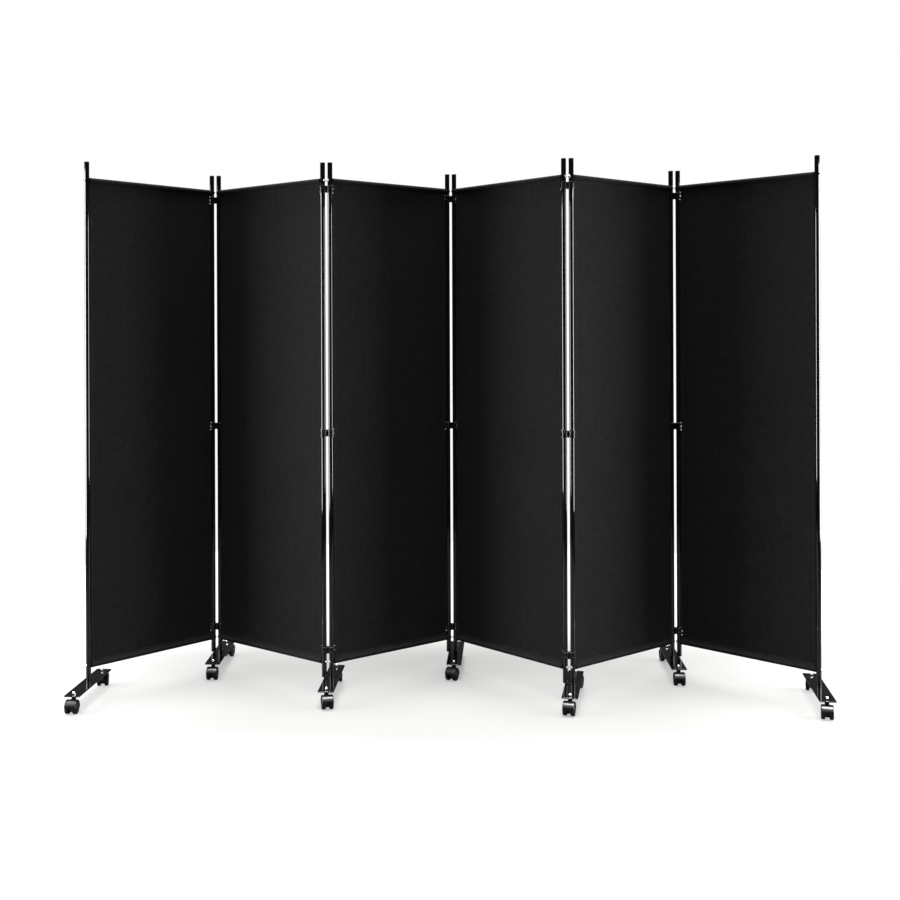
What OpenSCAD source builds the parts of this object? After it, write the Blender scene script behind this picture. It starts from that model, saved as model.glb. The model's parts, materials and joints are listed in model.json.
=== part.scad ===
// Rolling room divider: six fabric panels between pairs of round steel poles.
// The poles of neighbouring panels stand side by side and turn in double ring clips,
// and seven swivelling feet with two twin wheel casters each carry them.
// X runs along the divider, Y points to its back, Z points up from the floor.

/* [Panels] */
// Distance between the two pole axes of one panel
panel_w = 500; // [420:5:620]
// Angle of each panel to the line of the divider, from left to right
fold_angle = [46, 39, 38, 48, 39, 44]; // [35:1:55]
// Height from the floor to the top of the pole caps
overall_h = 1737; // [1500:1:2000]

/* [Poles] */
// Outer diameter of the pole tubes
pole_d = 16; // [14:0.5:20]
// Wall of the pole tubes
pole_wall = 1.2; // [1:0.1:1.6]
// Height of the seam between lower and upper tube
seam_h = 867; // [700:1:1000]
// Length of the swaged neck of the lower tube inside the upper one
neck_l = 57; // [30:1:80]
// Length that a pole stands above the fabric
pole_above_fabric = 51; // [35:1:80]
// Thickness of the plastic caps on the pole ends
cap_t = 2; // [1:0.5:4]
// Length of a cap's plug inside the tube
cap_plug_l = 14; // [8:1:25]
// Gap between a pole without a foot and the foot plate beside it
short_pole_gap = 3; // [2:0.5:10]

/* [Crossbars] */
// Outer diameter of the crossbars in the hems
bar_d = 13; // [10:0.5:14]
// Wall of the crossbar tubes
bar_wall = 1.2; // [0.8:0.1:1.5]
// Length of the threaded insert in each end of a crossbar
insert_l = 18; // [12:1:30]
// Diameter of the crossbar screws
screw_d = 6; // [4:0.5:6]
// Length of a crossbar screw under its head
screw_l = 30; // [26:1:36]
// Diameter of a screw's head
screw_head_d = 10; // [9:0.5:12]
// Height of a screw's head
screw_head_h = 3; // [2:0.1:3.2]

/* [Fabric] */
// Thickness of the cloth
fabric_t = 1.2; // [0.8:0.1:1.6]
// Height of the fabric's lower edge above the floor
fabric_bottom_h = 100; // [90:1:140]
// Height of the doubled hem below the top bar and above the bottom bar
hem_h = 8; // [5:1:15]
// Gap between the fabric's side edge and the pole
fabric_gap = 0.5; // [0.4:0.1:1.5]
// Gap above and below a clip in its notch in the fabric
notch_gap = 1.5; // [1:0.5:3]

/* [Clips] */
// Distance between the two pole axes of one joint
pole_pitch = 24; // [24:0.5:30]
// Height of a double ring clip
clip_h = 22; // [18:1:30]
// Wall of a clip's rings at the rims
clip_wall = 3.8; // [3:0.1:3.8]
// Height of the groove between the rims
clip_groove_h = 8; // [5:1:12]
// Depth of that groove
clip_groove = 2.4; // [1.2:0.1:2.6]
// Width of the bridge between the two rings
clip_bridge_w = 12; // [8:1:14]
// Distance from the top of the fabric to the centre of the top clip
top_clip_drop = 36; // [32:1:80]
// Distance from the tube seam to the centre of the middle clip
mid_clip_drop = 13; // [13:1:30]
// Distance from the fabric's lower edge to the centre of the bottom clip
bottom_clip_rise = 46; // [36:1:90]

/* [Feet] */
// Length of a foot plate
foot_l = 305; // [280:5:360]
// Width of a foot plate
foot_w = 51; // [44:1:56]
// Thickness of a foot plate
foot_t = 3; // [2.5:0.5:5]
// Radius of a foot plate's corners
foot_corner_r = 5; // [2:0.5:10]
// Distance between the two caster stems of one foot
stem_spacing = 260; // [240:1:270]
// Turn of each foot from the Y axis, from left to right
foot_turn = [-5, -2, -4, -5, -12, -4, -9]; // [-15:1:15]
// Diameter of the bolt that a foot turns on
foot_bolt_d = 8; // [6:0.5:9]
// Diameter of that bolt's head under the plate
foot_bolt_head_d = 15; // [13:0.5:20]
// Height of that head
foot_bolt_head_h = 4; // [3:0.5:5]
// Length of that bolt above its head
foot_bolt_l = 27; // [20:1:35]
// Length of the threaded insert in the lower end of a pole
foot_insert_l = 25; // [15:1:35]

/* [Casters] */
// Diameter of the wheels
wheel_d = 40; // [36:1:42]
// Width of one wheel
wheel_w = 11.5; // [9:0.5:13]
// Height from the floor to the underside of the foot plate
plate_h = 52; // [52:0.5:60]
// Distance from the stem's axis to the wheels' axle
trail = 18; // [16:0.5:19]
// Gap between a wheel and the web beside it
wheel_side_gap = 0.5; // [0.3:0.1:1]
// Width of the rounding at a wheel's edges
wheel_round_r = 2; // [1:0.5:3]
// Depth of the ring-shaped hollow in a wheel's outer face
wheel_dish = 1.2; // [0.6:0.1:2]
// Width of the raised rim outside that hollow
face_rim_w = 4.5; // [3:0.5:6]
// Width of the flat ring between that hollow and the hub cap
hub_ring_w = 1.5; // [1:0.5:2.5]
// Diameter of a wheel's hub cap
hub_cap_d = 14; // [10:0.5:15]
// Height of a wheel's hub cap
hub_cap_h = 0.8; // [0.4:0.1:1.2]
// Thickness of the housing's web between the wheels
web_t = 12; // [11:0.5:16]
// Radius of the web round the axle
web_r = 14; // [10:0.5:15]
// Turn of the hood's edges about the axle, upwards at the stem
hood_turn = 12; // [0:1:20]
// Wall of the hood over the wheels
hood_wall = 2.5; // [1.5:0.1:3]
// Gap between the wheels and the housing
wheel_gap = 1.3; // [0.8:0.1:2]
// Diameter of the axle
axle_d = 5; // [4:0.5:6]
// Diameter of the stem's pin and thread
stem_d = 6; // [5:0.5:6.5]
// Diameter of the stem's collar under the plate
stem_collar_d = 11; // [9.5:0.5:13]
// Length of the stem's pin in the housing
stem_pin_l = 15; // [10:1:16]
// Distance between the housing's top and the foot plate
collar_h = 6; // [5:0.5:7]
// Wall of the housing round the stem's pin
boss_wall = 4; // [3:0.5:5]
// Width across the flats of the domed nuts
nut_flats = 10; // [9.5:0.5:13]
// Height of the hexagon of the domed nuts
nut_hex_h = 4.5; // [3:0.5:6]
// Length of the stem's thread inside a nut's dome
dome_thread_l = 1; // [0.5:0.5:1.5]
// Turn of each front caster, from left to right
front_turn = [0, 0, 16, -20, -6, 0, -8]; // [-30:1:30]
// Turn of each rear caster, from left to right
rear_turn = [12, -8, 6, 14, -12, 8, -10]; // [-30:1:30]

/* [Fits] */
// Radial clearance of a shaft that turns in its hole
turn_clear = 0.05; // [0.03:0.01:0.1]
// Radial clearance of the clips on the poles
clip_clear = 0.1; // [0.05:0.01:0.1]
// Gap between faces of pieces that move past each other
face_gap = 0.3; // [0.2:0.1:0.5]
// Radial clearance of a plug or thread in its tube or hole
plug_clear = 0.05; // [0.03:0.01:0.1]
// Radial clearance of a screw in the wall that it passes
pass_clear = 0.3; // [0.2:0.1:0.4]
// Gap between faces of pieces that are pressed or screwed onto each other
seat_gap = 0.05; // [0.03:0.01:0.1]

/* [Hidden] */
$fn = 48;
PANELS = [1:6];
FEET = [1:7];

// Overlap of solids that are joined, and reach of a cut past the face that it opens
eps = 0.01;
over = 1;
pole_r = pole_d / 2;
bore_r = pole_r - pole_wall;
plug_r = bore_r - plug_clear;
plate_top = plate_h + foot_t;
long_pole_bottom = plate_top + face_gap;
short_pole_bottom = plate_top + short_pole_gap + cap_t;
pole_top = overall_h - cap_t;

fabric_top = overall_h - pole_above_fabric;
sleeve_bore_r = bar_d / 2 + face_gap;
sleeve_r = sleeve_bore_r + fabric_t;
top_bar_h = fabric_top - sleeve_r;
bottom_bar_h = fabric_bottom_h + sleeve_r;
bar_start = pole_r + face_gap;
thread_r = screw_d / 2 + plug_clear;

ring_bore_r = pole_r + clip_clear;
ring_r = min(ring_bore_r + clip_wall, pole_pitch / 2 - eps);
notch_x = ring_r + fabric_gap;
notch_h = clip_h + 2 * notch_gap;
CLIP_HEIGHTS = [
    fabric_bottom_h + bottom_clip_rise,
    seam_h - mid_clip_drop,
    fabric_top - top_clip_drop
];

wheel_r = wheel_d / 2;
hood_inner_r = wheel_r + wheel_gap;
hood_r = hood_inner_r + hood_wall;
wheel_in = web_t / 2 + wheel_side_gap;
wheel_out = wheel_in + wheel_w;
hub_cap_r = hub_cap_d / 2;
housing_top = plate_h - collar_h;
boss_r = stem_d / 2 + boss_wall;

// Direction of panel i in degrees: odd panels run to the back, even ones to the front
function panel_dir(i) = fold_angle[i - 1] * (i % 2 == 1 ? 1 : -1);
// Direction from the left pole of joint i to its right pole
function joint_dir(i) = (panel_dir(i) + panel_dir(i + 1)) / 2;
function along(a, l) = [l * cos(a), l * sin(a)];
// Pole places counted from the left pole of panel 1
function left_pole(i) = i == 1 ? [0, 0] : right_pole(i - 1) + along(joint_dir(i - 1), pole_pitch);
function right_pole(i) = left_pole(i) + along(panel_dir(i), panel_w);
// Feet 1 to 5 stand under the left poles of panels 1 to 5, feet 6 and 7 under the right poles of panels 5 and 6
function foot_side(k) = k > 5 ? 1 : 0;
function foot_panel(k) = k - foot_side(k);
function foot_pole(k) = foot_side(k) == 0 ? left_pole(foot_panel(k)) : right_pole(foot_panel(k));
function has_foot(i, side) = len([for (k = FEET) if (foot_panel(k) == i && foot_side(k) == side) k]) > 0;
// Only the two end poles have no clips
function has_clips(i, side) = side == 0 ? i > 1 : i < 6;
FOOT_Y = [for (k = FEET) foot_pole(k)[1]];
// The middle of the divider's outline on the floor, which is the origin
MIDDLE = [right_pole(6)[0] / 2, (min(FOOT_Y) + max(FOOT_Y)) / 2];

module at_panel(i) {
    p = left_pole(i) - MIDDLE;
    translate([p[0], p[1], 0]) rotate([0, 0, panel_dir(i)]) children();
}

module at_foot(k) {
    p = foot_pole(k) - MIDDLE;
    translate([p[0], p[1], 0]) rotate([0, 0, foot_turn[k - 1]]) children();
}

// end is -1 for the front caster and 1 for the rear one; the wheels trail away from the pole
module at_caster(k, end) {
    turn = end < 0 ? front_turn[k - 1] : rear_turn[k - 1];
    at_foot(k) translate([0, end * stem_spacing / 2, 0])
        rotate([0, 0, turn + (end < 0 ? 180 : 0)]) children();
}

// A tube or rod along Z from z1 to z2
module rod(r, z1, z2) {
    translate([0, 0, z1]) cylinder(r = r, h = z2 - z1);
}

// A rod along X from x1 to x2 at height z
module rod_x(r, x1, x2, z) {
    translate([x1, 0, z]) rotate([0, 90, 0]) cylinder(r = r, h = x2 - x1);
}

module lower_tube(bottom) {
    neck_r = bore_r - plug_clear;
    difference() {
        union() {
            rod(pole_r, bottom, seam_h);
            rod(neck_r, seam_h - pole_wall, seam_h + neck_l);
        }
        rod(bore_r, bottom - over, seam_h - 2 * pole_wall);
        rod(neck_r - pole_wall, seam_h - 3 * pole_wall, seam_h + neck_l + over);
        rod_x(screw_d / 2 + pass_clear, -pole_d, pole_d, bottom_bar_h);
    }
}

module upper_tube() {
    difference() {
        rod(pole_r, seam_h + seat_gap, pole_top);
        rod(bore_r, seam_h - over, pole_top + over);
        rod_x(screw_d / 2 + pass_clear, -pole_d, pole_d, top_bar_h);
    }
}

// A cap with its plug, flange outwards: up for the top of a pole, down for a short pole
module pole_cap(h, up) {
    translate([0, 0, h]) mirror([0, 0, up ? 0 : 1]) {
        rod(pole_r, seat_gap, cap_t);
        rod(plug_r, -cap_plug_l, cap_t);
    }
}

// The threaded plug in a foot pole, and the bolt that holds the foot plate under it
module foot_fixing() {
    difference() {
        rod(plug_r, long_pole_bottom, long_pole_bottom + foot_insert_l);
        rod(foot_bolt_d / 2 + plug_clear, long_pole_bottom - over, long_pole_bottom + foot_insert_l + over);
    }
    rod(foot_bolt_d / 2, plate_h - face_gap - eps, plate_h - face_gap + foot_bolt_l);
    rod(foot_bolt_head_d / 2, plate_h - face_gap - foot_bolt_head_h, plate_h - face_gap);
}

// One pole with its caps and, where a foot stands, its fixing
module pole(foot) {
    lower_tube(foot ? long_pole_bottom : short_pole_bottom);
    upper_tube();
    pole_cap(pole_top, true);
    if (foot) foot_fixing();
    else pole_cap(short_pole_bottom, false);
}

module poles(i) {
    color([0.02, 0.02, 0.022]) at_panel(i)
        for (side = [0, 1])
            translate([side * panel_w, 0, 0]) pole(has_foot(i, side));
}

// A screw through the pole at the origin into the crossbar on its +X side
module crossbar_screw(z) {
    rod_x(screw_d / 2, -pole_r - face_gap, screw_l - pole_r - face_gap, z);
    rod_x(screw_head_d / 2, -pole_r - screw_head_h, -pole_r - face_gap + eps, z);
}

module crossbar_insert(z) {
    difference() {
        rod_x(bar_d / 2 - bar_wall - plug_clear, bar_start, bar_start + insert_l, z);
        rod_x(thread_r, bar_start - over, bar_start + insert_l + over, z);
    }
}

module crossbar(z) {
    difference() {
        rod_x(bar_d / 2, bar_start, panel_w - bar_start, z);
        rod_x(bar_d / 2 - bar_wall, bar_start - over, panel_w - bar_start + over, z);
    }
    for (side = [0, 1])
        translate([side * panel_w, 0, 0]) mirror([side, 0, 0]) {
            crossbar_insert(z);
            crossbar_screw(z);
        }
}

module crossbars(i) {
    color([0.55, 0.56, 0.58]) at_panel(i)
        for (z = [bottom_bar_h, top_bar_h])
            crossbar(z);
}

// The cloth, with a sleeve round each crossbar and a notch at each clip
module fabric(i) {
    x1 = pole_r + fabric_gap;
    x2 = panel_w - x1;
    color([0.05, 0.05, 0.055]) at_panel(i) difference() {
        union() {
            translate([x1, -fabric_t / 2, bottom_bar_h])
                cube([x2 - x1, fabric_t, top_bar_h - bottom_bar_h]);
            for (z = [bottom_bar_h, top_bar_h - sleeve_r - hem_h])
                translate([x1, -fabric_t, z])
                    cube([x2 - x1, 2 * fabric_t, sleeve_r + hem_h]);
            rod_x(sleeve_r, x1, x2, top_bar_h);
            rod_x(sleeve_r, x1, x2, bottom_bar_h);
        }
        for (z = [bottom_bar_h, top_bar_h])
            rod_x(sleeve_bore_r, x1 - over, x2 + over, z);
        for (side = [0, 1])
            if (has_clips(i, side))
                for (z = CLIP_HEIGHTS)
                    translate([side * panel_w - notch_x, -sleeve_r, z - notch_h / 2])
                        cube([2 * notch_x, 2 * sleeve_r, notch_h]);
    }
}

// A clip with a ring for each pole of the joint, the left pole at the origin
module clip() {
    rim_h = (clip_h - clip_groove_h) / 2;
    difference() {
        union() {
            for (x = [0, pole_pitch]) translate([x, 0, 0]) {
                rod(ring_r, 0, rim_h);
                rod(ring_r - clip_groove, 0, clip_h);
                rod(ring_r, clip_h - rim_h, clip_h);
            }
            translate([ring_bore_r / 2, -clip_bridge_w / 2, 0])
                cube([pole_pitch - ring_bore_r, clip_bridge_w, clip_h]);
        }
        for (x = [0, pole_pitch]) translate([x, 0, 0]) rod(ring_bore_r, -over, clip_h + over);
    }
}

module clips(i) {
    p = right_pole(i) - MIDDLE;
    color([0.03, 0.03, 0.032])
        translate([p[0], p[1], 0]) rotate([0, 0, joint_dir(i)])
            for (z = CLIP_HEIGHTS)
                translate([0, 0, z - clip_h / 2]) clip();
}

module foot_plate() {
    x = foot_w / 2 - foot_corner_r;
    y = foot_l / 2 - foot_corner_r;
    difference() {
        union() {
            for (sx = [-1, 1], sy = [-1, 1])
                translate([sx * x, sy * y, 0]) rod(foot_corner_r, plate_h, plate_top);
            translate([-foot_w / 2, -y, plate_h]) cube([foot_w, 2 * y, foot_t]);
            translate([-x, -foot_l / 2, plate_h]) cube([2 * x, foot_l, foot_t]);
        }
        rod(foot_bolt_d / 2 + turn_clear, plate_h - over, plate_top + over);
        for (s = [-1, 1])
            translate([0, s * stem_spacing / 2, 0])
                rod(stem_d / 2 + pass_clear, plate_h - over, plate_top + over);
    }
}

// A caster's stem: its pin in the housing, its collar and its thread through the plate
module stem() {
    rod(stem_d / 2, housing_top - stem_pin_l, plate_top + nut_hex_h + dome_thread_l);
    rod(stem_collar_d / 2, housing_top + face_gap, plate_h - seat_gap);
}

module domed_nut() {
    dome_r = nut_flats / 2;
    difference() {
        union() {
            translate([0, 0, plate_top + seat_gap])
                cylinder(d = nut_flats / cos(30), h = nut_hex_h - seat_gap, $fn = 6);
            translate([0, 0, plate_top + nut_hex_h - eps]) intersection() {
                sphere(r = dome_r);
                rod(dome_r + over, 0, dome_r + over);
            }
        }
        rod(stem_d / 2 + plug_clear, plate_top - over, plate_top + nut_hex_h + dome_thread_l + face_gap);
    }
}

module foot(k) {
    color([0.03, 0.03, 0.035]) at_foot(k) {
        foot_plate();
        for (s = [-1, 1])
            translate([0, s * stem_spacing / 2, 0]) {
                stem();
                domed_nut();
            }
    }
}

// Side outline of the housing in the plane of the wheels, its axle at the origin
module housing_outline() {
    intersection() {
        circle(r = hood_r);
        rotate(-hood_turn) translate([-2 * hood_r, 0]) square([4 * hood_r, 2 * hood_r]);
    }
    circle(r = web_r);
}

// Turns a drawing's X to -Y and its Y to Z, and centres its depth on X
module upright(w) {
    translate([w / 2, 0, 0]) rotate([90, 0, -90]) linear_extrude(w) children();
}

// The caster's housing: the stem's axis is the Z axis, the wheels trail towards +Y
module housing() {
    difference() {
        union() {
            translate([0, trail, wheel_r]) upright(2 * wheel_out) housing_outline();
            rod(boss_r, wheel_r + wheel_gap, housing_top);
        }
        translate([0, trail, 0])
            for (s = [0, 1])
                mirror([s, 0, 0])
                    rod_x(hood_inner_r, web_t / 2, wheel_out + over, wheel_r);
        translate([0, trail, 0]) rod_x(axle_d / 2 + turn_clear, -web_t, web_t, wheel_r);
        rod(stem_d / 2 + turn_clear, housing_top - stem_pin_l - over, housing_top + over);
    }
}

module caster(k, end) {
    color([0.04, 0.04, 0.042]) at_caster(k, end) housing();
}

// Section of one wheel: distance from the axle against distance from its inner face
module wheel_section() {
    dish_r = hub_cap_r + hub_ring_w;
    difference() {
        union() {
            translate([0, wheel_round_r]) square([wheel_r, wheel_w - 2 * wheel_round_r]);
            square([wheel_r - wheel_round_r, wheel_w]);
            for (x = [wheel_round_r, wheel_w - wheel_round_r])
                translate([wheel_r - wheel_round_r, x]) circle(r = wheel_round_r);
            square([hub_cap_r, wheel_w + hub_cap_h]);
        }
        translate([dish_r, wheel_w - wheel_dish])
            square([wheel_r - face_rim_w - dish_r, wheel_dish + over]);
        translate([-over, -over]) square([over + axle_d / 2 + plug_clear, over + wheel_w]);
    }
}

module wheel_pair() {
    translate([0, trail, wheel_r]) {
        for (s = [0, 1])
            mirror([s, 0, 0])
                rotate([0, 90, 0]) translate([0, 0, wheel_in]) rotate_extrude() wheel_section();
        rod_x(axle_d / 2, seat_gap - wheel_out, wheel_out - seat_gap, 0);
    }
}

module wheels(k, end) {
    color([0.05, 0.05, 0.05]) at_caster(k, end) wheel_pair();
}

for (i = PANELS) {
    poles(i);
    crossbars(i);
    fabric(i);
}
for (i = [1:5]) {
    clips(i);
}
for (k = FEET) {
    foot(k);
    caster(k, -1);
    caster(k, 1);
    wheels(k, -1);
    wheels(k, 1);
}
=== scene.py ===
"""Looks of a rolling room divider: six cloth panels between pairs of poles, on seven feet with casters.

Lengths are in metres. X runs along the divider, Y points to its back and Z points up from the floor.
"""
import json
import math

import bmesh
import bpy
from mathutils import Matrix, Vector, noise

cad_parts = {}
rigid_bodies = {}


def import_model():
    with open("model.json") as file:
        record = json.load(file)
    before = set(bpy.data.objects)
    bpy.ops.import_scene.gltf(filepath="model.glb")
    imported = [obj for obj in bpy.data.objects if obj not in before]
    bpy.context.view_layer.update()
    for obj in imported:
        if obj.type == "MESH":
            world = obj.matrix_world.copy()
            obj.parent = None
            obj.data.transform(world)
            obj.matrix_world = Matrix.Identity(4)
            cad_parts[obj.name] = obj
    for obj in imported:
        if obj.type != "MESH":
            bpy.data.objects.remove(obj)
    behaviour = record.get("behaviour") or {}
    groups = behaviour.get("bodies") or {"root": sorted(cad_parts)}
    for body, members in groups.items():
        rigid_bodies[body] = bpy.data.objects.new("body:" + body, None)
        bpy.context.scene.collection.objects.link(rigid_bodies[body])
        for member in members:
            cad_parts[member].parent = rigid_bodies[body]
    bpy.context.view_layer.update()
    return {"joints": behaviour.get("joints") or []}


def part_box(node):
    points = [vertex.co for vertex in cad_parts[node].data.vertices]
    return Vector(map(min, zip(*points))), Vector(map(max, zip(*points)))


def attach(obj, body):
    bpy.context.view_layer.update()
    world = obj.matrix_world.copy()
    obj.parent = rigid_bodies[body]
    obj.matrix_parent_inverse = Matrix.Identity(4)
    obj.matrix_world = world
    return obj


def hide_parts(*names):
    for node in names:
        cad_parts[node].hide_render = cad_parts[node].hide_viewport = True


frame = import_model()

# Camera, as the photograph of 900 by 900 pixels shows the divider
FRAME_PX = 900
FOCAL_PX = 1184.5
CENTRE_PX = 389.8
HORIZON_PX = 332.6
SENSOR_W = 36
CAMERA_PLACE = (-0.1455, -3.971, 1.181)
CAMERA_TURN = 0.0112
CAMERA_ROLL = 0.0037

# Sizes of the pieces
MM = 0.001
TINY = 1e-6
FACE_GAP = 0.3 * MM
FIT_GAP = 0.1 * MM
CLOSE_GAP = 0.05 * MM
FINE_EDGE_R = 0.2 * MM
EDGE_R = 0.3 * MM
SOFT_EDGE_R = 1 * MM
POLE_R = 8 * MM
POLE_WALL = 1.2 * MM
POLE_EDGE_R = 0.6 * MM
SEAM_H = 867 * MM
SHORT_POLE_GAP = 3 * MM
CAP_T = 2 * MM
CAP_EDGE_R = 0.9 * MM
CAP_PLUG_L = 14 * MM
CAP_PLUG_EDGE_R = 0.5 * MM
BAR_R = 6.5 * MM
BAR_WALL = 1.2 * MM
SCREW_R = 3 * MM
SCREW_HEAD_R = 5 * MM
SCREW_HEAD_H = 3 * MM
SCREW_RIM_H = 0.8 * MM
SCREW_RIM_EDGE_R = 0.6 * MM
SCREW_L = 20 * MM
SOCKET_R = 2.1 * MM
SOCKET_DEPTH = 1.6 * MM
HEAD_SLOPE = 2 * MM
CLOTH_T = 1.0 * MM
SLEEVE_R = 7.4 * MM
SLEEVE_OUTER_R = 8 * MM
STITCH_DROP = 11.5 * MM
HEM_DROP = 16 * MM
HEM_END = 3 * MM
NOTCH_H = 25 * MM
NOTCH_DEPTH = 3.9 * MM
NOTCH_SLOPE = 1.5 * MM
NOTCH_REACH = 14 * MM
CLOTH_GAP = 0.5 * MM
SIDE_HEM_W = 10 * MM
SIDE_HEM_T = 0.35 * MM
SIDE_HEM_SLOPE = 0.6 * MM
SIDE_SEAM_INSET = 2.2 * MM
STITCH_PITCH = 4 * MM
STITCH_L = 3.1 * MM
STITCH_INSET = 3 * MM
# Share of a stitch's length from its middle to where it starts to narrow
STITCH_SHOULDER = 0.3125
# How far the two rows of stitches of a hem are from its bar
STITCH_ROWS = (STITCH_DROP + 0.6 * MM, HEM_DROP - 0.8 * MM)
THREAD_R = 0.26 * MM
CLIP_H = 22 * MM
CLIP_BORE_R = 8.1 * MM
CLIP_RING_R = 11.9 * MM
CLIP_GROOVE_H = 8 * MM
CLIP_GROOVE = 2.4 * MM
CLIP_RIM_R = 0.9 * MM
CLIP_FACE_W = 2.5 * MM
CLIP_MOUTH = 0.4 * MM
CLIP_BRIDGE_W = 12 * MM
MID_CLIP_DROP = 13 * MM
FOOT_L = 305 * MM
FOOT_W = 51 * MM
FOOT_T = 3 * MM
FOOT_CORNER_R = 5 * MM
FOOT_EDGE_R = 0.8 * MM
FOOT_FACE_W = 4 * MM
PLATE_H = 52 * MM
BOLT_R = 4 * MM
BOLT_L = 20 * MM
BOLT_HEAD_R = 7.5 * MM
BOLT_HEAD_H = 4 * MM
BOLT_SOCKET_R = 2.6 * MM
BOLT_SOCKET_DEPTH = 2 * MM
STEM_R = 3 * MM
STEM_COLLAR_R = 5.5 * MM
STEM_COLLAR_EDGE_R = 0.8 * MM
STEM_PIN_L = 15 * MM
HOUSING_TOP = 46 * MM
NUT_FLATS = 10 * MM
NUT_HEX_H = 4.5 * MM
NUT_CHAMFER = 0.3 * MM
NUT_TOP_CHAMFER = 0.7 * MM
NUT_STEP_H = 0.4 * MM
NUT_OVERLAP = 0.5 * MM
DOME_STEPS = 8
WHEEL_R = 20 * MM
WHEEL_W = 11.5 * MM
WHEEL_IN = 6.5 * MM
TREAD_INNER_EDGE_R = 1.8 * MM
TREAD_OUTER_EDGE_R = 2.2 * MM
RIM_R = 15 * MM
RIM_EDGE_R = 0.5 * MM
DISH_R = 14 * MM
DISH_DEPTH = 1.4 * MM
DISH_EDGE_R = 0.4 * MM
HUB_DISH_R = 8.5 * MM
HUB_FOOT_R = 7.8 * MM
HUB_FOOT_H = 0.2 * MM
HUB_R = 6.5 * MM
HUB_H = 0.8 * MM
HOOD_INNER_R = 21.3 * MM
HOOD_R = 23.8 * MM
HOOD_HALF_W = 18 * MM
HOOD_EDGE_R = 2.2 * MM
HOOD_BORE_R = 3 * MM
HOOD_TURN = 12
WEB_HALF_W = 6 * MM
WEB_R = 14 * MM
BOSS_R = 7 * MM
BOSS_EDGE_R = 1.2 * MM
BOSS_BOTTOM = WHEEL_R + 4 * MM
RIB_INSET = 1 * MM
RIB_DROP = 0.8 * MM
RIB_EDGE_R = 2 * MM
# The rib ends at this share of the way to the axle, this far below the hood's top
RIB_REACH = 0.95
RIB_SINK = 0.3 * MM
RIB_STEPS = 8
AXLE_R = 2.5 * MM
AXLE_REACH = 2 * MM

PANELS = range(1, 7)
PANEL_JOINTS = range(1, 6)
FEET = range(1, 8)
JOINTS = {joint["name"]: joint for joint in frame["joints"]}


def place_of(joint):
    return Vector(JOINTS[joint]["pos_m"])


# Poles of each panel: a joint's clips and its other panel turn about one pole each
left_pole = {1: place_of("foot_1_swivel")}
right_pole = {6: place_of("foot_7_swivel")}
for number in PANEL_JOINTS:
    for joint_name, role in ((f"joint_{number}_clips", "parent"), (f"joint_{number}_panel", "child")):
        panel = int(JOINTS[joint_name][role].split("_")[1])
        side = right_pole if panel == number else left_pole
        side[panel] = place_of(joint_name)


def upright_frame(origin, along):
    """The place of a piece with its local X axis along a level direction and its origin on the floor."""
    x = Vector((along[0], along[1], 0)).normalized()
    z = Vector((0, 0, 1))
    y = z.cross(x)
    turn = Matrix((x, y, z)).transposed().to_4x4()
    return Matrix.Translation((origin[0], origin[1], 0)) @ turn


# Shapes


def fillet(corners, steps=4):
    """A line through corners (x, y, radius), each rounded with its radius."""
    line = []
    last = len(corners) - 1
    for n, (x, y, radius) in enumerate(corners):
        here = Vector((x, y))
        if radius == 0 or n in (0, last):
            line.append(here)
            continue
        before = (Vector(corners[n - 1][:2]) - here).normalized()
        after = (Vector(corners[n + 1][:2]) - here).normalized()
        half = before.angle(after) / 2
        centre = here + (before + after).normalized() * radius / math.sin(half)
        start = here + before * radius / math.tan(half) - centre
        end = here + after * radius / math.tan(half) - centre
        a = math.atan2(start.y, start.x)
        sweep = (math.atan2(end.y, end.x) - a + math.pi) % (2 * math.pi) - math.pi
        for step in range(steps + 1):
            angle = a + sweep * step / steps
            line.append(centre + radius * Vector((math.cos(angle), math.sin(angle))))
    return line


def turned(profile, steps=32, loop=False, start=0.0, sweep=2 * math.pi):
    """Points and faces of a line of (radius, height) turned about Z. With loop its end joins its start."""
    whole = sweep > 2 * math.pi - TINY
    count = steps if whole else steps + 1
    points = []
    rings = []
    for radius, height in profile:
        if radius < TINY:
            rings.append([len(points)] * count)
            points.append((0, 0, height))
            continue
        rings.append(range(len(points), len(points) + count))
        for n in range(count):
            angle = start + sweep * n / steps
            points.append((radius * math.cos(angle), radius * math.sin(angle), height))
    pairs = list(zip(rings, rings[1:]))
    if loop:
        pairs.append((rings[-1], rings[0]))
    faces = []
    for low, high in pairs:
        for n in range(steps):
            m = (n + 1) % count
            face = list(dict.fromkeys((low[n], low[m], high[m], high[n])))
            if len(face) > 2:
                faces.append(face)
    if loop and not whole:
        faces.append([ring[0] for ring in rings])
        faces.append([ring[-1] for ring in reversed(rings)])
    return points, faces


def lofted(rings):
    """Points and faces of a skin over closed rings of the same number of points, with both ends closed."""
    count = len(rings[0])
    points = [point for ring in rings for point in ring]
    faces = []
    for level in range(len(rings) - 1):
        low = level * count
        high = low + count
        for n in range(count):
            m = (n + 1) % count
            faces.append((low + n, low + m, high + m, high + n))
    faces.append(tuple(reversed(range(count))))
    faces.append(tuple(range(len(points) - count, len(points))))
    return points, faces


def rod_profile(radius, low, high, edge=EDGE_R):
    """Half the section of a solid round bar with rounded ends."""
    return fillet([(0, low, 0), (radius, low, edge), (radius, high, edge), (0, high, 0)], 3)


def tube_profile(outer, inner, low, high, edge=EDGE_R):
    """The section of a round tube with rounded outer ends."""
    return fillet([(inner, low, 0), (outer, low, edge), (outer, high, edge), (inner, high, 0)], 3)


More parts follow.
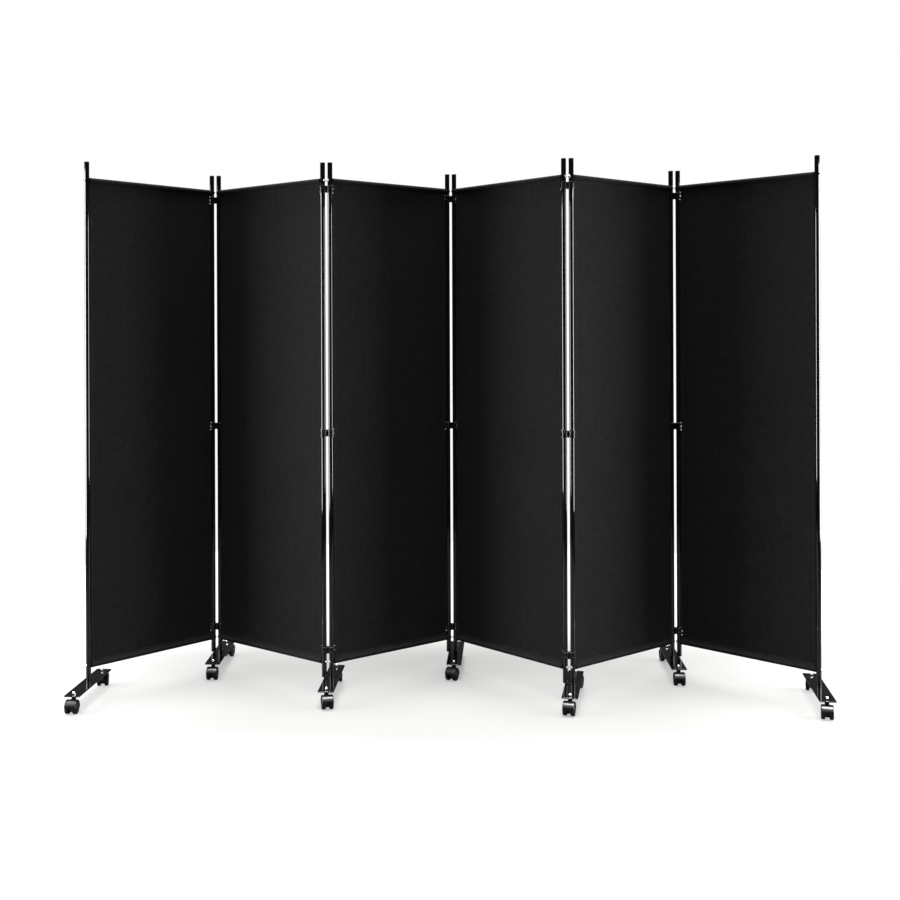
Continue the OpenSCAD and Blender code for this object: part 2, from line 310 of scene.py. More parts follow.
def rounded_rectangle(half_x, half_y, radius, height, steps=6):
    """A closed level ring of points."""
    ring = []
    for corner, (sx, sy) in enumerate(((1, 1), (-1, 1), (-1, -1), (1, -1))):
        for step in range(steps + 1):
            angle = (corner + step / steps) * math.pi / 2
            x = sx * (half_x - radius) + radius * math.cos(angle)
            y = sy * (half_y - radius) + radius * math.sin(angle)
            ring.append((x, y, height))
    return ring


# Lays what is upright along X and stands what lies along X upright
LEVEL = Matrix.Rotation(math.pi / 2, 4, "Y")
# Faces what stands upright the other way
HALF_TURN = Matrix.Rotation(math.pi, 4, "Z")


class Shape:
    """The points and faces of one piece in the making. Each face has the number of its material."""

    def __init__(self, place):
        self.place = place
        self.points = []
        self.faces = []
        self.kinds = []

    def add(self, made, kind=0, at=Matrix.Identity(4)):
        points, faces = made
        start = len(self.points)
        place = self.place @ at
        self.points += [place @ Vector(point) for point in points]
        self.faces += [[start + n for n in face] for face in faces]
        self.kinds += [kind] * len(faces)

    def mesh(self, name, materials, sharp_angle=40):
        mesh = bpy.data.meshes.new(name)
        mesh.from_pydata(self.points, [], self.faces)
        mesh.polygons.foreach_set("material_index", self.kinds)
        work = bmesh.new()
        work.from_mesh(mesh)
        bmesh.ops.remove_doubles(work, verts=work.verts, dist=TINY / 10)
        bmesh.ops.recalc_face_normals(work, faces=work.faces)
        work.to_mesh(mesh)
        work.free()
        for material in materials:
            mesh.materials.append(material)
        mesh.shade_smooth()
        mesh.set_sharp_from_angle(angle=math.radians(sharp_angle))
        return mesh


def new_piece(name, mesh, body, slot, *nodes):
    """An object that rides on a body and stands for CAD nodes."""
    piece = bpy.data.objects.new(name, mesh)
    bpy.context.scene.collection.objects.link(piece)
    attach(piece, body)
    if nodes:
        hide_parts(*nodes)
    return piece


def even_normals(piece):
    """Keeps the flat faces beside narrow rounded edges looking flat."""
    modifier = piece.modifiers.new("even_normals", "WEIGHTED_NORMAL")
    modifier.keep_sharp = True


# Materials


class Nodes:
    """Short calls for the nodes of one tree."""

    def __init__(self, tree):
        self.tree = tree

    def node(self, kind, inputs=(), **settings):
        """A node with the inputs (name, value or socket)."""
        made = self.tree.nodes.new(kind)
        for setting, value in settings.items():
            setattr(made, setting, value)
        for socket, value in inputs:
            if isinstance(value, bpy.types.NodeSocket):
                self.tree.links.new(value, made.inputs[socket])
            else:
                made.inputs[socket].default_value = value
        return made

    def maths(self, operation, a, b=0.0):
        return self.node("ShaderNodeMath", ((0, a), (1, b)), operation=operation).outputs[0]

    def parts(self, vector):
        return self.node("ShaderNodeSeparateXYZ", ((0, vector),)).outputs

    def length(self, vector):
        return self.node("ShaderNodeVectorMath", ((0, vector),), operation="LENGTH").outputs["Value"]

    def scaled(self, vector, scale, shift=(0, 0, 0)):
        inputs = (("Vector", vector), ("Location", shift), ("Scale", scale))
        return self.node("ShaderNodeMapping", inputs, vector_type="POINT").outputs[0]

    def noise(self, vector, scale, detail=2.0, roughness=0.5):
        inputs = (("Vector", vector), ("Scale", scale), ("Detail", detail), ("Roughness", roughness))
        return self.node("ShaderNodeTexNoise", inputs).outputs["Fac"]

    def ranged(self, value, low, high, to_low, to_high, interpolation="LINEAR"):
        inputs = ((0, value), (1, low), (2, high), (3, to_low), (4, to_high))
        return self.node("ShaderNodeMapRange", inputs, interpolation_type=interpolation).outputs[0]

    def eased(self, value, low, high, to_low, to_high):
        return self.ranged(value, low, high, to_low, to_high, "SMOOTHSTEP")

    def blended(self, factor, a, b):
        made = self.node("ShaderNodeMix", (), data_type="RGBA", clamp_factor=False)
        self.tree.links.new(factor, made.inputs["Factor"])
        for socket, value in ((6, a), (7, b)):
            if isinstance(value, bpy.types.NodeSocket):
                self.tree.links.new(value, made.inputs[socket])
            else:
                made.inputs[socket].default_value = (*value, 1)
        return made.outputs[2]

    def bump(self, height, distance, strength=1.0, below=None):
        inputs = [("Height", height), ("Distance", distance), ("Strength", strength)]
        if below is not None:
            inputs.append(("Normal", below))
        return self.node("ShaderNodeBump", inputs).outputs[0]

    def coordinates(self, kind="Object"):
        return self.node("ShaderNodeTexCoord").outputs[kind]

    def seen_by_camera(self):
        return self.node("ShaderNodeLightPath").outputs["Is Camera Ray"]


class Finish(Nodes):
    """One material. Values that are the same all over go on the shader itself."""

    def __init__(self, name, **values):
        self.material = bpy.data.materials.new(name)
        self.material.use_nodes = True
        super().__init__(self.material.node_tree)
        self.shader = self.tree.nodes["Principled BSDF"]
        for socket, value in values.items():
            self.shader.inputs[socket.replace("_", " ")].default_value = value

    def feed(self, socket, value):
        self.tree.links.new(value, self.shader.inputs[socket])


def grey(shade):
    return (shade,) * 3


def gloss_paint():
    """Gloss black enamel on tube and plate, with a faint orange peel and some handling marks."""
    f = Finish("gloss_black_paint", Specular_IOR_Level=0.65)
    where = f.coordinates()
    marks = f.noise(f.scaled(where, (60, 60, 9)), scale=1.0, detail=4.0)
    peel = f.noise(where, scale=900.0, detail=1.0)
    f.feed("Base Color", f.blended(marks, grey(0.001), grey(0.004)))
    f.feed("Roughness", f.ranged(marks, 0.35, 0.7, to_low=0.035, to_high=0.09))
    f.feed("Normal", f.bump(peel, distance=0.01 * MM, strength=0.3))
    return f.material


def moulded_plastic(name, shade, rough_low, rough_high):
    """Black moulded plastic with a fine grain."""
    f = Finish(name, Specular_IOR_Level=0.4)
    where = f.coordinates()
    cloud = f.noise(where, scale=45.0, detail=3.0)
    grain = f.noise(where, scale=1600.0, detail=2.0)
    f.feed("Base Color", f.blended(cloud, grey(shade * 0.8), grey(shade * 1.3)))
    f.feed("Roughness", f.ranged(cloud, 0.3, 0.7, rough_low, rough_high))
    f.feed("Normal", f.bump(grain, distance=0.03 * MM, strength=0.5))
    return f.material


def bright_zinc():
    """Bright plated screws and domed nuts, with fine turning marks and a little tarnish."""
    f = Finish("bright_plating", Metallic=1.0)
    where = f.coordinates()
    tarnish = f.noise(where, scale=420.0, detail=3.0)
    lines = f.noise(f.scaled(where, (300, 300, 6000)), scale=1.0, detail=1.0)
    f.feed("Base Color", f.blended(tarnish, (0.62, 0.62, 0.63), (0.86, 0.86, 0.87)))
    f.feed("Roughness", f.ranged(tarnish, 0.3, 0.7, to_low=0.1, to_high=0.28))
    f.feed("Normal", f.bump(lines, distance=0.01 * MM, strength=0.3))
    return f.material


def dark_steel():
    """Blackened steel of the stems, bolts and axles."""
    f = Finish("blackened_steel", Metallic=0.9)
    where = f.coordinates()
    cloud = f.noise(where, scale=160.0, detail=3.0)
    lines = f.noise(f.scaled(where, (200, 200, 2500)), scale=1.0, detail=1.0)
    f.feed("Base Color", f.blended(cloud, (0.02, 0.02, 0.021), (0.05, 0.05, 0.052)))
    f.feed("Roughness", f.ranged(cloud, 0.3, 0.7, to_low=0.3, to_high=0.45))
    f.feed("Normal", f.bump(lines, distance=0.02 * MM, strength=0.3))
    return f.material


WEAVE_PITCH = 1.3 * MM
CLOTH_UV = "cloth"
# Sets the panels apart in the cloth's pattern, so that no two look the same
PANEL_UV_STEP = 0.61
CLOTH_SHADE = 0.0106
# Half width of the dark line of a seam, and how far its edge is blurred. The line is painted shade where the
# stitching draws the cloth into a crease.
SEAM_LINE = 0.6 * MM
SEAM_BLUR = 2 * MM
SEAM_PAINTED_SHADE = 0.45


def woven_cloth():
    """Black polyester in plain weave: round threads, thick and thin yarns, faint mottle, soft sheen, and
    painted shade along the stitched seams.
    """
    f = Finish("black_woven_cloth", Specular_IOR_Level=0.07, Sheen_Weight=0.02, Sheen_Roughness=0.4)
    where = f.node("ShaderNodeUVMap", uv_map=CLOTH_UV).outputs[0]
    across, along = f.parts(where)[:2]
    turns = 2 * math.pi / WEAVE_PITCH
    warp = f.maths("SINE", f.maths("MULTIPLY", across, turns))
    weft = f.maths("SINE", f.maths("MULTIPLY", along, turns))
    weave = f.maths("MULTIPLY", warp, weft)
    weft_slubs = f.noise(f.scaled(where, (16, 420, 1)), scale=1.0, detail=3.0, roughness=0.6)
    warp_slubs = f.noise(f.scaled(where, (520, 7, 1)), scale=1.0, detail=3.0, roughness=0.6)
    slubs = f.maths("ADD", f.maths("MULTIPLY", weft_slubs, 0.5), f.maths("MULTIPLY", warp_slubs, 0.5))
    yarn = f.ranged(slubs, 0.36, 0.64, to_low=0.7, to_high=1.3)
    patches = f.noise(f.scaled(where, (75, 42, 1)), scale=1.0, detail=2.0)
    mottle = f.ranged(patches, 0.2, 0.8, to_low=0.78, to_high=1.22)
    drift = f.noise(where, scale=6.0, detail=3.0, roughness=0.55)
    cloud = f.ranged(drift, 0.25, 0.75, to_low=0.93, to_high=1.07)
    shade = f.maths("MULTIPLY", f.maths("MULTIPLY", yarn, mottle), cloud)
    # Painted shade along each stitched seam, where the cloth is drawn into a crease
    for stitched in SEAM_LENGTHS:
        away = f.maths("ABSOLUTE", f.maths("SUBTRACT", along, stitched))
        seam_painted_shade = f.ranged(away, SEAM_LINE, SEAM_LINE + SEAM_BLUR, SEAM_PAINTED_SHADE, 1.0)
        shade = f.maths("MULTIPLY", shade, seam_painted_shade)
    f.feed("Base Color", f.blended(shade, grey(0.0), grey(CLOTH_SHADE)))
    f.feed("Roughness", f.ranged(slubs, 0.36, 0.64, to_low=0.78, to_high=0.92))
    threads = f.bump(weave, distance=0.12 * MM, strength=0.6)
    f.feed("Normal", f.bump(slubs, distance=0.4 * MM, strength=0.35, below=threads))
    return f.material


def sewing_thread():
    """Black twisted thread."""
    f = Finish("sewing_thread", Specular_IOR_Level=0.4, Sheen_Weight=0.2)
    where = f.coordinates()
    twist = f.noise(where, scale=2600.0, detail=1.0)
    f.feed("Base Color", f.blended(twist, grey(0.008), grey(0.02)))
    f.feed("Roughness", f.ranged(twist, 0.3, 0.7, to_low=0.45, to_high=0.65))
    f.feed("Normal", f.bump(twist, distance=0.05 * MM, strength=0.5))
    return f.material


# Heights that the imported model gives
POLE_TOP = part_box("poles_1")[1].z
CLOTH_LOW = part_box("fabric_1")[0].z
CLOTH_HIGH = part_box("fabric_1")[1].z
TOP_BAR_H = CLOTH_HIGH - SLEEVE_OUTER_R
BOTTOM_BAR_H = CLOTH_LOW + SLEEVE_OUTER_R
CLIP_HEIGHTS = (
    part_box("clips_1")[0].z + CLIP_H / 2,
    SEAM_H - MID_CLIP_DROP,
    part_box("clips_1")[1].z - CLIP_H / 2,
)
PLATE_TOP = PLATE_H + FOOT_T
LONG_POLE_BOTTOM = PLATE_TOP + FACE_GAP
SHORT_POLE_BOTTOM = PLATE_TOP + SHORT_POLE_GAP + CAP_T


def panel_frame(i):
    return upright_frame(left_pole[i], right_pole[i] - left_pole[i])


def panel_width(i):
    return (right_pole[i] - left_pole[i]).to_2d().length


# Rows of the cloth

ROW_STEP = 12 * MM
ROW_CLEAR = 3 * MM
HEM_ROWS = 11
HEM_ROW_STEP = 4 * MM
SEAM_ROW_STEP = 1.5 * MM
SLEEVE_STEPS = 18


def sleeve_line(bar_h, down):
    """Side view of one hem as (y, z): from the end of the turned back edge round the bar to the front."""
    spread = math.acos(SLEEVE_R / STITCH_DROP)
    half = CLOTH_T / 2
    stitched = (-STITCH_DROP, -STITCH_DROP - SEAM_ROW_STEP, -HEM_DROP)
    line = [(half, z) for z in reversed(stitched)]
    first = spread - math.pi / 2
    last = math.pi * 1.5 - spread
    for step in range(SLEEVE_STEPS + 1):
        angle = first + (last - first) * step / SLEEVE_STEPS
        line.append((SLEEVE_R * math.cos(angle), SLEEVE_R * math.sin(angle)))
    line += [(-half, z) for z in stitched]
    line.append((0, -HEM_DROP - HEM_END))
    sign = 1 if down else -1
    return [Vector((y, bar_h + sign * z)) for y, z in line]


def cloth_rows():
    """Side view of the whole cloth as (y, z), from the turned edge at the top to the one at the bottom."""
    top = sleeve_line(TOP_BAR_H, True)
    bottom = sleeve_line(BOTTOM_BAR_H, False)
    high = top[-1].y
    low = bottom[-1].y
    levels = {high - 1 * MM, low + 1 * MM}
    count = round((high - low) / ROW_STEP)
    notches = []
    for centre in CLIP_HEIGHTS:
        for sign in (-1, 1):
            edge = centre + sign * NOTCH_H / 2
            notches += [edge, edge + sign * NOTCH_SLOPE]
    for n in range(1, count):
        level = high + (low - high) * n / count
        if all(abs(level - notch) > ROW_CLEAR for notch in notches):
            levels.add(level)
    levels.update(notch for notch in notches if low < notch < high)
    for n in range(1, HEM_ROWS + 1):
        levels.add(high - n * HEM_ROW_STEP)
        levels.add(low + n * HEM_ROW_STEP)
    middle = [Vector((0, level)) for level in sorted(levels, reverse=True)]
    return top + middle + bottom[::-1]


def row_lengths(rows):
    """Length along the cloth at each of its rows."""
    lengths = [0.0]
    for a, b in zip(rows, rows[1:]):
        lengths.append(lengths[-1] + (b - a).length)
    return lengths


CLOTH_ROWS = cloth_rows()
CLOTH_LENGTHS = row_lengths(CLOTH_ROWS)
# Lengths along the cloth where its front is stitched down below the top bar and above the bottom bar
STITCHED_HEIGHTS = (TOP_BAR_H - STITCH_DROP, BOTTOM_BAR_H + STITCH_DROP)
SEAM_LENGTHS = [
    length for row, length in zip(CLOTH_ROWS, CLOTH_LENGTHS)
    if row.x < 0 and min(abs(row.y - height) for height in STITCHED_HEIGHTS) < FIT_GAP
]

PAINT = gloss_paint()
CAP_PLASTIC = moulded_plastic("cap_plastic", shade=0.009, rough_low=0.28, rough_high=0.4)
CLIP_PLASTIC = moulded_plastic("clip_plastic", shade=0.004, rough_low=0.08, rough_high=0.16)
HOUSING_PLASTIC = moulded_plastic("housing_plastic", shade=0.003, rough_low=0.22, rough_high=0.34)
WHEEL_PLASTIC = moulded_plastic("wheel_plastic", shade=0.006, rough_low=0.3, rough_high=0.42)
PLATING = bright_zinc()
STEEL = dark_steel()
CLOTH = woven_cloth()
THREAD = sewing_thread()


# Poles


def cap_profile(mouth, out):
    """Section of the cap and plug at a pole's open end. Here out is 1 at the top and -1 at the bottom."""
    plug_r = POLE_R - POLE_WALL - FIT_GAP
    corners = [(0, -CAP_PLUG_L, 0), (plug_r, -CAP_PLUG_L, CAP_PLUG_EDGE_R), (plug_r, FIT_GAP, 0),
               (POLE_R, FIT_GAP, FINE_EDGE_R), (POLE_R, CAP_T, CAP_EDGE_R), (0, CAP_T, 0)]
    return fillet([(radius, mouth + out * height, edge) for radius, height, edge in corners], 3)


def add_pole(shape, at, has_foot):
    """A lower and an upper tube that meet at the seam, a cap on top, and a foot bolt or a cap below."""
    bottom = LONG_POLE_BOTTOM if has_foot else SHORT_POLE_BOTTOM
    mouth = POLE_TOP - CAP_T
    for low, high in ((bottom, SEAM_H), (SEAM_H + FIT_GAP, mouth)):
        tube = tube_profile(POLE_R, POLE_R - POLE_WALL, low, high, POLE_EDGE_R)
        shape.add(turned(tube, loop=True), 0, at)
    shape.add(turned(cap_profile(mouth, 1)), 1, at)
    if has_foot:
        add_foot_bolt(shape, at)
    else:
        shape.add(turned(cap_profile(bottom, -1)), 1, at)


def add_foot_bolt(shape, at):
    """The bolt from below that a foot plate turns on: a low round head with a round socket."""
    top = PLATE_H - FACE_GAP
    low = top - BOLT_HEAD_H
    socket = low + BOLT_SOCKET_DEPTH
    shank = rod_profile(BOLT_R, low + BOLT_SOCKET_DEPTH / 2, LONG_POLE_BOTTOM + BOLT_L)
    head = [(0, socket, 0), (BOLT_SOCKET_R, socket, 0), (BOLT_SOCKET_R, low, EDGE_R),
            (BOLT_HEAD_R - HEAD_SLOPE, low, SOFT_EDGE_R), (BOLT_HEAD_R, low + HEAD_SLOPE, SOFT_EDGE_R),
            (BOLT_HEAD_R, top, EDGE_R), (0, top, 0)]
    shape.add(turned(shank), 2, at)
    shape.add(turned(fillet(head, 3)), 2, at)


FOOT_SPOTS = [place_of(f"foot_{k}_swivel") for k in FEET]


def stands_on_foot(pole):
    return any((pole - spot).to_2d().length < 1 * MM for spot in FOOT_SPOTS)


def make_poles(i):
    shape = Shape(panel_frame(i))
    for x, pole in ((0, left_pole[i]), (panel_width(i), right_pole[i])):
        add_pole(shape, Matrix.Translation((x, 0, 0)), stands_on_foot(pole))
    mesh = shape.mesh(f"pole_pair_{i}", (PAINT, CAP_PLASTIC, STEEL))
    even_normals(new_piece(f"pole_pair_{i}", mesh, f"panel_{i}", "pole_steel", f"poles_{i}"))


# Crossbars with their screws


def add_screw(shape, at):
    """A screw along local X through the pole at the origin: its head is outside, a low dome with a socket."""
    seat = at @ Matrix.Translation((-POLE_R - FACE_GAP, 0, 0)) @ LEVEL
    thick = SCREW_HEAD_H - FACE_GAP
    socket = SOCKET_DEPTH - thick
    head = [(0, socket, 0), (SOCKET_R, socket, 0), (SOCKET_R, -thick, FINE_EDGE_R),
            (SCREW_HEAD_R - HEAD_SLOPE, -thick, SOFT_EDGE_R),
            (SCREW_HEAD_R, -SCREW_RIM_H, SCREW_RIM_EDGE_R), (SCREW_HEAD_R, 0, FINE_EDGE_R), (0, 0, 0)]
    shape.add(turned(fillet(head, 3), 28), 1, seat)
    shape.add(turned(rod_profile(SCREW_R, 0, SCREW_L), 20), 1, seat)


def make_crossbars(i):
    shape = Shape(panel_frame(i))
    width = panel_width(i)
    start = POLE_R + FACE_GAP
    bar = turned(tube_profile(BAR_R, BAR_R - BAR_WALL, start, width - start), loop=True)
    for height in (BOTTOM_BAR_H, TOP_BAR_H):
        left = Matrix.Translation((0, 0, height))
        right = Matrix.Translation((width, 0, height)) @ HALF_TURN
        shape.add(bar, 0, left @ LEVEL)
        add_screw(shape, left)
        add_screw(shape, right)
    mesh = shape.mesh(f"crossbar_pair_{i}", (STEEL, PLATING))
    even_normals(new_piece(f"crossbar_pair_{i}", mesh, f"panel_{i}", "crossbar_steel", f"crossbars_{i}"))


# Cloth panels


def notch_at(i, right, z):
    """How far a side edge of the cloth is cut back at a height. Beside the two end poles it is not."""
    if (i, right) in ((1, False), (6, True)):
        return 0.0
    for centre in CLIP_HEIGHTS:
        past = abs(z - centre) - NOTCH_H / 2
        if past < NOTCH_SLOPE - TINY:
            return NOTCH_DEPTH * min(1, max(0, 1 - past / NOTCH_SLOPE))
    return 0.0


def smooth(low, high, value):
    """Rises from 0 at low to 1 at high, with soft ends."""
    t = min(1, max(0, (value - low) / (high - low)))
    return t * t * (3 - 2 * t)


# Waves of the cloth: how many to the metre across and along, height, and the place in the noise
LONG_WAVES = (4.5, 1.6, 2.2 * MM, 0)
DRAWN_WAVES = (17, 1.1, 0.9 * MM, 3)
GATHERS = (70, 9, 1.1 * MM, 5)
# Sets the panels apart in the noise
WAVE_SEED_STEP = 7.3
# Distances from a hem over which the waves begin, and the gathers begin and end
WAVE_START = 60 * MM
GATHER_START = 8 * MM
GATHER_FADE = (15 * MM, 110 * MM)


def waves(kind, x, z, seed):
    across, along, height, offset = kind
    return noise.noise(Vector((x * across, z * along, seed + offset))) * height


def cloth_ripple(i, x, width, z):
    """How far the taut cloth stands off its plane: long soft waves, and small gathers beside the hems."""
    seed = WAVE_SEED_STEP * i
    span = math.sin(math.pi * min(1, max(0, x / width)))
    away = min(TOP_BAR_H - HEM_DROP - z, z - BOTTOM_BAR_H - HEM_DROP)
    soft = waves(LONG_WAVES, x, z, seed) + waves(DRAWN_WAVES, x, z, seed)
    near_hem = smooth(0, GATHER_START, away) * (1 - smooth(*GATHER_FADE, away))
    gathers = waves(GATHERS, x, z, seed)
    return span * smooth(0, WAVE_START, away) * soft + near_hem * gathers * math.sqrt(span)


def side_hem(x, width):
    """The doubled edge at each side stands a little proud of the cloth."""
    edge = min(x, width - x)
    return SIDE_HEM_T * (1 - smooth(SIDE_HEM_W - SIDE_HEM_SLOPE, SIDE_HEM_W + SIDE_HEM_SLOPE, edge))


# Columns of the cloth beside each side edge, and the width of those between
EDGE_COLUMNS = [0, 1.5 * MM, 4 * MM, 7 * MM, SIDE_HEM_W - 0.8 * MM, SIDE_HEM_W + 0.8 * MM, NOTCH_REACH]
COLUMN_STEP = 7 * MM


def cloth_columns(width):
    inner_w = width - 2 * NOTCH_REACH
    count = round(inner_w / COLUMN_STEP)
    inner = [NOTCH_REACH + inner_w * n / count for n in range(1, count)]
    return EDGE_COLUMNS + inner + [width - x for x in reversed(EDGE_COLUMNS)]


def make_cloth(i):
    """A panel's cloth as one woven sheet, with its sleeves round the crossbars, and its stitches."""
    pole_gap = POLE_R + CLOTH_GAP
    width = panel_width(i) - 2 * pole_gap
    columns = cloth_columns(width)
    place = panel_frame(i) @ Matrix.Translation((pole_gap, 0, 0))
    points = []
    for y, z in CLOTH_ROWS:
        for x in columns:
            right = x > width / 2
            cut = notch_at(i, right, z) * max(0, 1 - min(x, width - x) / NOTCH_REACH)
            moved = x - cut if right else x + cut
            proud = cloth_ripple(i, x, width, z) + side_hem(x, width)
            points.append(place @ Vector((moved, y - proud, z)))
    across = len(columns)
    faces = []
    for row in range(len(CLOTH_ROWS) - 1):
        for column in range(across - 1):
            a = row * across + column
            faces.append((a, a + 1, a + 1 + across, a + across))
    mesh = bpy.data.meshes.new(f"cloth_{i}")
    mesh.from_pydata(points, [], faces)
    layer = mesh.uv_layers.new(name=CLOTH_UV)
    for loop in mesh.loops:
        row, column = divmod(loop.vertex_index, across)
        layer.data[loop.index].uv = (columns[column] + PANEL_UV_STEP * i, CLOTH_LENGTHS[row])
    mesh.materials.append(CLOTH)
    mesh.shade_smooth()
    cloth = new_piece(f"cloth_{i}", mesh, f"panel_{i}", "cloth", f"fabric_{i}")
    thicken = cloth.modifiers.new("thickness", "SOLIDIFY")
    thicken.thickness = CLOTH_T
    thicken.offset = 0
    thicken.use_even_offset = True
    stitching = make_stitching(i, place, width)


def stitch(length, radius):
    """One stitch of thread along X: a thin square tube that narrows to a point at both ends."""
    corners = [(radius * math.cos(a), radius * math.sin(a)) for a in (0, math.pi / 2, math.pi, math.pi * 1.5)]
    points = [(-length / 2, 0, 0)]
    for x in (-length * STITCH_SHOULDER, length * STITCH_SHOULDER):
        points += [(x, y, z) for y, z in corners]
    points.append((length / 2, 0, 0))
    faces = []
    for n in range(4):
        m = (n + 1) % 4
        faces += [(0, 1 + m, 1 + n), (1 + n, 1 + m, 5 + m, 5 + n), (5 + n, 5 + m, 9)]
    return points, faces


def stitch_places(low, high):
    """The middles of the stitches in a row between two ends."""
    count = int((high - low) / STITCH_PITCH)
    return [low + (n + 0.5) * (high - low) / count for n in range(count)]


def make_stitching(i, place, width):
    """Two rows of stitches along each hem and one along each side, on both faces of the cloth."""
    shape = Shape(place)
    one = stitch(STITCH_L, THREAD_R)
    rows = []
    for bar_h, sign in ((TOP_BAR_H, -1), (BOTTOM_BAR_H, 1)):
        rows += [bar_h + sign * drop for drop in STITCH_ROWS]
    for z in rows:
        for x in stitch_places(STITCH_INSET, width - STITCH_INSET):
            for face in (-1, 1):
                y = face * CLOTH_T - side_hem(x, width)
                shape.add(one, 0, Matrix.Translation((x, y, z)))
    past_hem = HEM_DROP + STITCH_PITCH
    for z in stitch_places(BOTTOM_BAR_H + past_hem, TOP_BAR_H - past_hem):
        for x in (SIDE_HEM_W - SIDE_SEAM_INSET, width - SIDE_HEM_W + SIDE_SEAM_INSET):
            if notch_at(i, x > width / 2, z) > 0:
                continue
            middle = -cloth_ripple(i, x, width, z) - side_hem(x, width)
            for face in (-1, 1):
                shape.add(one, 0, Matrix.Translation((x, middle + face * CLOTH_T / 2, z)) @ LEVEL)
    mesh = shape.mesh(f"stitching_{i}", (THREAD,), 80)
    return new_piece(f"stitching_{i}", mesh, f"panel_{i}", "cloth")


# Clips between the poles


# Steps across the middle of the bridge and round a ring
BRIDGE_STEPS = 8
RING_STEPS = 36


def clip_outline(inset, pitch, height):
    """Half of a clip's outline from above, round the pole at the origin, up to the middle of the bridge."""
    ring = CLIP_RING_R - inset
    half = CLIP_BRIDGE_W / 2 - inset
    middle = pitch / 2
    corner = math.atan2(half, middle)
    root = math.asin(half / ring)
    neck = (middle + ring * math.cos(root)) / 2
    line = [(middle, middle * math.tan(corner * (2 * n / BRIDGE_STEPS - 1))) for n in range(BRIDGE_STEPS)]
    line += [(middle, half), (neck, half)]
    for n in range(RING_STEPS + 1):
        angle = root + (2 * math.pi - 2 * root) * n / RING_STEPS
        line.append((ring * math.cos(angle), ring * math.sin(angle)))
    line.append((neck, -half))
    return [(x, y, height) for x, y in line]


def bore_ring(outline, radius, rise=0.0):
    """The points of an outline drawn in to a radius round the pole."""
    ring = []
    for x, y, height in outline:
        reach = math.hypot(x, y)
        ring.append((x * radius / reach, y * radius / reach, height + rise))
    return ring


def half_clip(pitch):
    """One ring of a clip with its half of the bridge, as a skin that is open towards the other half."""
    low = (CLIP_H - CLIP_GROOVE_H) / 2
    lower = [(CLIP_FACE_W, 0, 0), (0, 0, CLIP_RIM_R), (0, low, CLIP_MOUTH), (CLIP_GROOVE, low, EDGE_R)]
    upper = [(inset, CLIP_H - height, edge) for inset, height, edge in reversed(lower)]
    outer = [clip_outline(inset, pitch, height) for inset, height in fillet(lower + upper, 3)]
    mouth_r = CLIP_BORE_R + CLIP_MOUTH
    rings = outer + [
        bore_ring(outer[-1], mouth_r), bore_ring(outer[-1], CLIP_BORE_R, -CLIP_MOUTH),
        bore_ring(outer[0], CLIP_BORE_R, CLIP_MOUTH), bore_ring(outer[0], mouth_r),
    ]
    count = len(rings[0])
    points = [point for ring in rings for point in ring]
    faces = []
    for level in range(len(rings)):
        a = level * count
        b = (level + 1) % len(rings) * count
        open_steps = BRIDGE_STEPS if level < len(outer) - 1 else 0
        for n in range(open_steps, count):
            m = (n + 1) % count
            faces.append((a + n, a + m, b + m, b + n))
    return points, faces


def make_clips(i):
    """The three clips of a joint, each of two halves that meet in the middle of the bridge."""
    along = left_pole[i + 1] - right_pole[i]
    pitch = along.to_2d().length
    shape = Shape(upright_frame(right_pole[i], along))
    half = half_clip(pitch)
    other = Matrix.Translation((pitch, 0, 0)) @ HALF_TURN
    for height in CLIP_HEIGHTS:
        base = Matrix.Translation((0, 0, height - CLIP_H / 2))
        shape.add(half, 0, base)
        shape.add(half, 0, base @ other)
    mesh = shape.mesh(f"clip_set_{i}", (CLIP_PLASTIC,))
    even_normals(new_piece(f"clip_set_{i}", mesh, f"clips_{i}", "clip_plastic", f"clips_{i}"))


# Feet


def foot_frame(k):
    """A foot's place: its local Y axis points from the front caster to the rear one."""
    front = place_of(f"front_caster_{k}_swivel")
    rear = place_of(f"rear_caster_{k}_swivel")
    along = rear - front
    return upright_frame(place_of(f"foot_{k}_swivel"), (along.y, -along.x)), along.to_2d().length


def domed_nut():
    """An acorn nut: a chamfered hexagon, a small step and a round dome."""
    flat_r = NUT_FLATS / 2
    corner_r = flat_r / math.cos(math.pi / 6)
    base = PLATE_TOP + CLOSE_GAP
    top = PLATE_TOP + NUT_HEX_H
    hexagon = [(0, base), (corner_r - NUT_CHAMFER, base), (corner_r, base + NUT_CHAMFER),
               (corner_r, top - NUT_TOP_CHAMFER), (flat_r, top), (0, top)]
    dome_r = flat_r - NUT_CHAMFER
    dome = [(0, top - NUT_OVERLAP), (dome_r, top - NUT_OVERLAP)]
    for n in range(DOME_STEPS):
        angle = math.pi / 2 * n / DOME_STEPS
        height = NUT_STEP_H + (flat_r - NUT_STEP_H) * math.sin(angle)
        dome.append((dome_r * math.cos(angle), top + height))
    dome.append((0, top + flat_r))
    return turned(hexagon, 6), turned(dome, 24)


